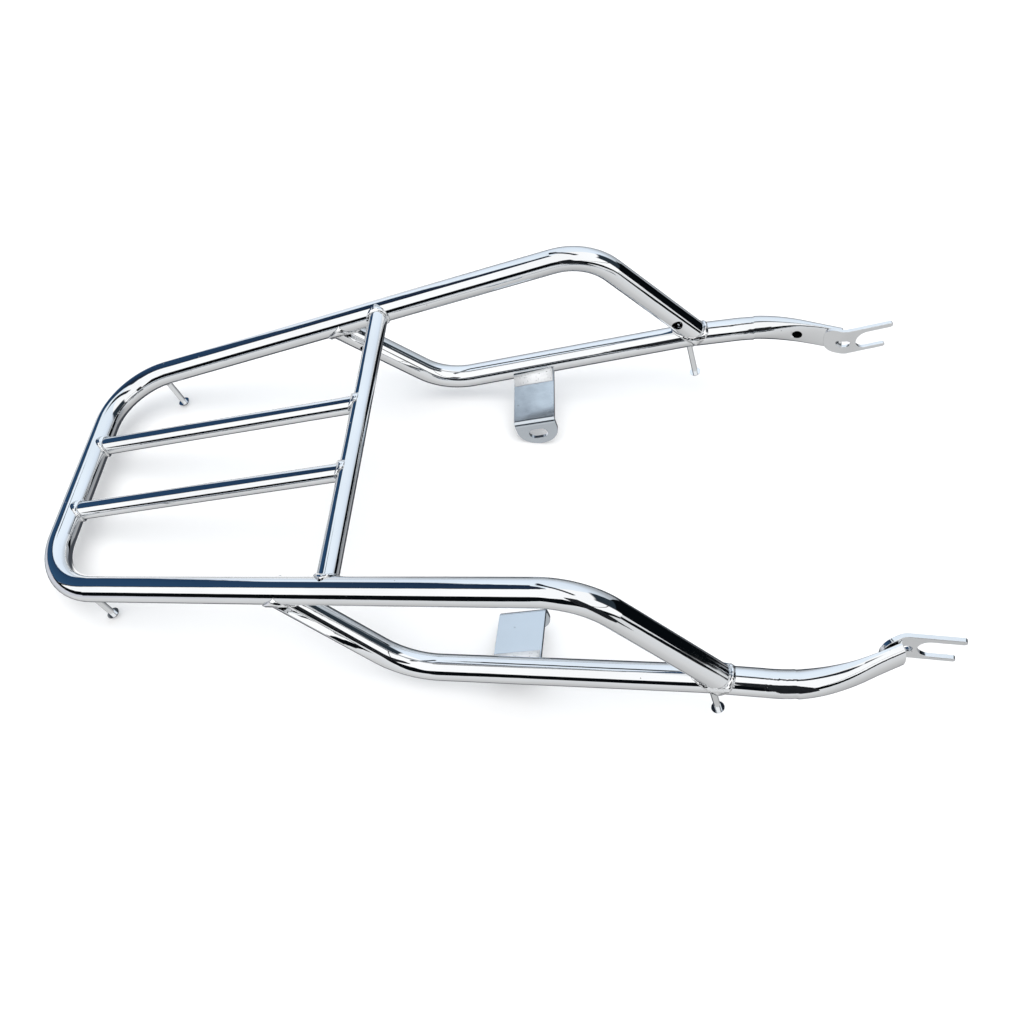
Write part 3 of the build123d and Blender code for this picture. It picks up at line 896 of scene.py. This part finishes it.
# %% World: white screen and its frame
screen_right = both_of(plane_side(0.43, -1.0, 0.12), plane_side(1.0, 0.0, 0.0))
screen_near = plane_side(0.0, -1.0, -0.03)
screen = both_of(either_of(screen_right, screen_near), soft_step(tree, height, -4.0, -2.0))
room = mix_colour(tree, screen, room, grey(1.0))

left_end = both_of(plane_side(-1.0, 0.0, -0.12), soft_step(tree, height, 8.0, 12.0))
left_edge = both_of(between_values(north, -0.075, -0.01, 0.01), left_end)
room = mix_colour(tree, left_edge, room, (0.003, 0.005, 0.009, 1.0))

overhead = soft_step(tree, up, 0.80, 0.84)
frame_bar = both_of(between_values(looking_at(0.731, 0.64, -0.238), -0.055, 0.078, 0.012), overhead)
frame_bar = both_of(frame_bar, plane_side(1.0, 0.0, 0.16))
room = mix_colour(tree, frame_bar, room, (0.01, 0.013, 0.02, 1.0))
print("nodes with the screen:", len(tree.nodes))

# %% [markdown]
# A dark upright shape on the right shows in the round outer bends of the rails and of the loop. It has two
# headings for its sides and two heights for its ends.

# %% World: dark doorway on the right
doorway = both_of(between_values(heading, 78.0, 120.0, 3.0), between_values(height, -2.0, 33.0, 2.5))
room = mix_colour(tree, doorway, room, (0.022, 0.032, 0.042, 1.0))
print("nodes with the doorway:", len(tree.nodes))

# %% [markdown]
# The hardest contrast in chrome is the horizon, where white paper meets a dark room. It isn't level here,
# because things of different heights stand round the paper. So one curve gives the middle of the dark band
# for each heading, and a second one its reach above and below.

# %% World: dark band round the horizon
band_height = along_heading(-40.0, 20.0, (-180, 15), (-90, 15.5), (-65, 12), (-45, 8.5), (-31, 6), (-20, 13),
                            (-10, 10), (4, 14), (14, 10), (20, 7), (35, 0), (45, -4), (55, -11), (72, -12),
                            (79, -3), (98, -4), (110, -7), (126, -9), (138, -20), (150, -30), (180, -36))
band_reach = along_heading(0.0, 24.0, (-180, 0), (-100, 0.5), (-90, 4), (-65, 9), (-45, 13), (-31, 19),
                           (-20, 15), (-10, 16), (4, 15), (14, 13), (20, 11), (35, 8), (45, 5), (55, 4),
                           (70, 2.5), (73, 0.2), (79, 8), (98, 9), (110, 11), (126, 13), (138, 10), (155, 4),
                           (170, 0), (180, 0))
off_band = sum_up(tree, "ABSOLUTE", sum_up(tree, "SUBTRACT", height, band_height))
in_band = soft_step(tree, sum_up(tree, "SUBTRACT", band_reach, off_band), -0.6, 0.6)

# The grey paper below the band on the left
under_band = soft_step(tree, sum_up(tree, "SUBTRACT", band_height, height), -0.5, 0.5)
left_paper = both_of(both_of(between_values(heading, -110.0, -40.0, 12.0),
                             soft_step(tree, height, -20.0, -10.0)), under_band)
room = mix_colour(tree, left_paper, room, (0.60, 0.61, 0.66, 1.0))
room = mix_colour(tree, in_band, room, (0.002, 0.003, 0.004, 1.0))
print("nodes with the band:", len(tree.nodes))

# %% [markdown]
# Two small things are left: the screen's lower edge on the right, which is a hairline under the white, and a
# white sheet far to the left, which brightens the rear bend.

# %% World: edge of the screen and far sheet
screen_edge = both_of(between_values(height, 14.8, 16.2, 0.4), between_values(heading, 22.0, 84.0, 4.0))
room = mix_colour(tree, screen_edge, room, grey(0.02))
corner_paper = both_of(between_values(heading, -158.0, -126.0, 6.0), between_values(height, -38.0, 8.0, 5.0))
room = mix_colour(tree, corner_paper, room, grey(0.95))
print("nodes with the edge and the corner:", len(tree.nodes))

# %% [markdown]
# The camera has to see plain white behind the rack, as on the page, while the chrome has to mirror the room.
# Light Path tells the two kinds of ray apart. The room also lights the paper.

# %% World: what each kind of ray sees
room_strength = 1.2
seen = add_node(tree, "ShaderNodeBackground", Color=page_white, Strength=1.0)
mirrored_room = add_node(tree, "ShaderNodeBackground", Color=room, Strength=room_strength)
choose = tree.nodes.new("ShaderNodeMixShader")
tree.links.new(tree.nodes.new("ShaderNodeLightPath").outputs["Is Camera Ray"], choose.inputs[0])
tree.links.new(mirrored_room.outputs[0], choose.inputs[1])
tree.links.new(seen.outputs[0], choose.inputs[2])
tree.links.new(choose.outputs[0], tree.nodes.new("ShaderNodeOutputWorld").inputs[0])
print("world nodes:", len(tree.nodes))

# %% [markdown]
# ## The dark stand in front of the rack
#
# Something dark and upright stood close to the rack on the near side, below the camera. It is too close to
# be painted by direction: each tube sees it under another heading. So it is a real box, which shows in the
# mirror only.

# %% Stand
stand_low, stand_high = Vector((0.385, -0.66, -0.25)), Vector((0.565, -0.58, 0.40))
block = bmesh.new()
bmesh.ops.create_cube(block, size=1.0, matrix=Matrix.Translation((stand_low + stand_high) / 2) @
                      Matrix.Diagonal((*(stand_high - stand_low), 1.0)))
stand_mesh = bpy.data.meshes.new("stand")
block.to_mesh(stand_mesh)
block.free()
stand = bpy.data.objects.new("stand", stand_mesh)
bpy.context.scene.collection.objects.link(stand)
stand.visible_camera = stand.visible_diffuse = stand.visible_shadow = stand.visible_transmission = False

cloth = bpy.data.materials.new("dark_cloth")
cloth.use_nodes = True
tree = cloth.node_tree
folds = add_node(tree, "ShaderNodeTexNoise", Vector=tree.nodes.new("ShaderNodeTexCoord").outputs["Object"],
                 Scale=20.0)
cloth_tone = mix_colour(tree, folds.outputs[0], grey(0.004), (0.012, 0.014, 0.018, 1.0))
tree.links.new(cloth_tone, tree.nodes["Principled BSDF"].inputs["Base Color"])
tree.nodes["Principled BSDF"].inputs["Roughness"].default_value = 0.9
stand_mesh.materials.append(cloth)
print("stand, mm:", [round(1000 * side) for side in stand_high - stand_low])

# %% [markdown]
# ## Lamp
#
# The shadows on the paper are soft and faint, so the lamp is a broad one. A sun with a wide angle lights the
# whole floor evenly, and it is kept out of the mirror, where the painted screen already stands for it.

# %% Lamp
lamp = bpy.data.objects.new("lamp", bpy.data.lights.new("lamp", "SUN"))
bpy.context.scene.collection.objects.link(lamp)
lamp.data.energy = 1.5
lamp.data.angle = radians(50)
lamp.rotation_euler = (radians(6), radians(14), 0.0)
lamp.visible_glossy = False
bpy.context.scene.view_settings.view_transform = "Standard"
print("lamp energy:", lamp.data.energy)
